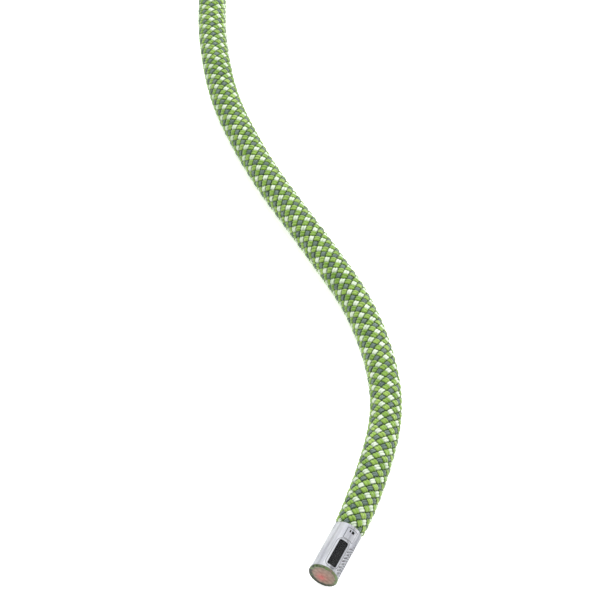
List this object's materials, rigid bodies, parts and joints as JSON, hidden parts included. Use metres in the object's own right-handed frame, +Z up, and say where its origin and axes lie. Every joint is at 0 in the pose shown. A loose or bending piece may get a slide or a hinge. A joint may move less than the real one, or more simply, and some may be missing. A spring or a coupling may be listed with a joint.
{
  "type": "dynamic climbing rope",
  "caption": "Braided kernmantle climbing rope with a labelled, fused free end lying in an S-curve and the rest wound into a tied hank beside it.",
  "frame": {"origin": "centre of the whole rope's bounding box, on the surface that it rests on", "axes": "+Z up; the free end points towards -Y and the hank's straight runs lie along Y"},
  "size_m": [0.3138, 0.3113, 0.1598],
  "materials": {
    "sheath": "braided polyamide in green, mint white and slate",
    "core": "twisted polyamide strands, undyed",
    "marker": "dyed polyamide strand",
    "label": "printed film, satin",
    "clear_sleeve": "clear shrunk film, glossy",
    "fused": "polyamide melted by the hot knife",
    "tie": "woven hook-and-loop tape"
  },
  "bodies": {
    "root": {"sheath": "sheath", "core_strand_01": "core", "core_strand_02": "core", "core_strand_03": "core", "core_strand_04": "core", "core_strand_05": "core", "core_strand_06": "core", "core_strand_07": "core", "core_strand_08": "core", "core_strand_09": "core", "core_strand_10": "core", "core_strand_11": "core", "core_strand_12": "core", "core_strand_13": "core", "core_marker": "marker", "end_label": "label", "end_sleeve": "clear_sleeve", "fused_end": "fused", "hank": "sheath", "tail_sheath": "sheath", "tail_label": "label", "tail_sleeve": "clear_sleeve", "tail_fused_end": "fused", "tie_near": "tie", "tie_far": "tie"}
  },
  "joints": []
}
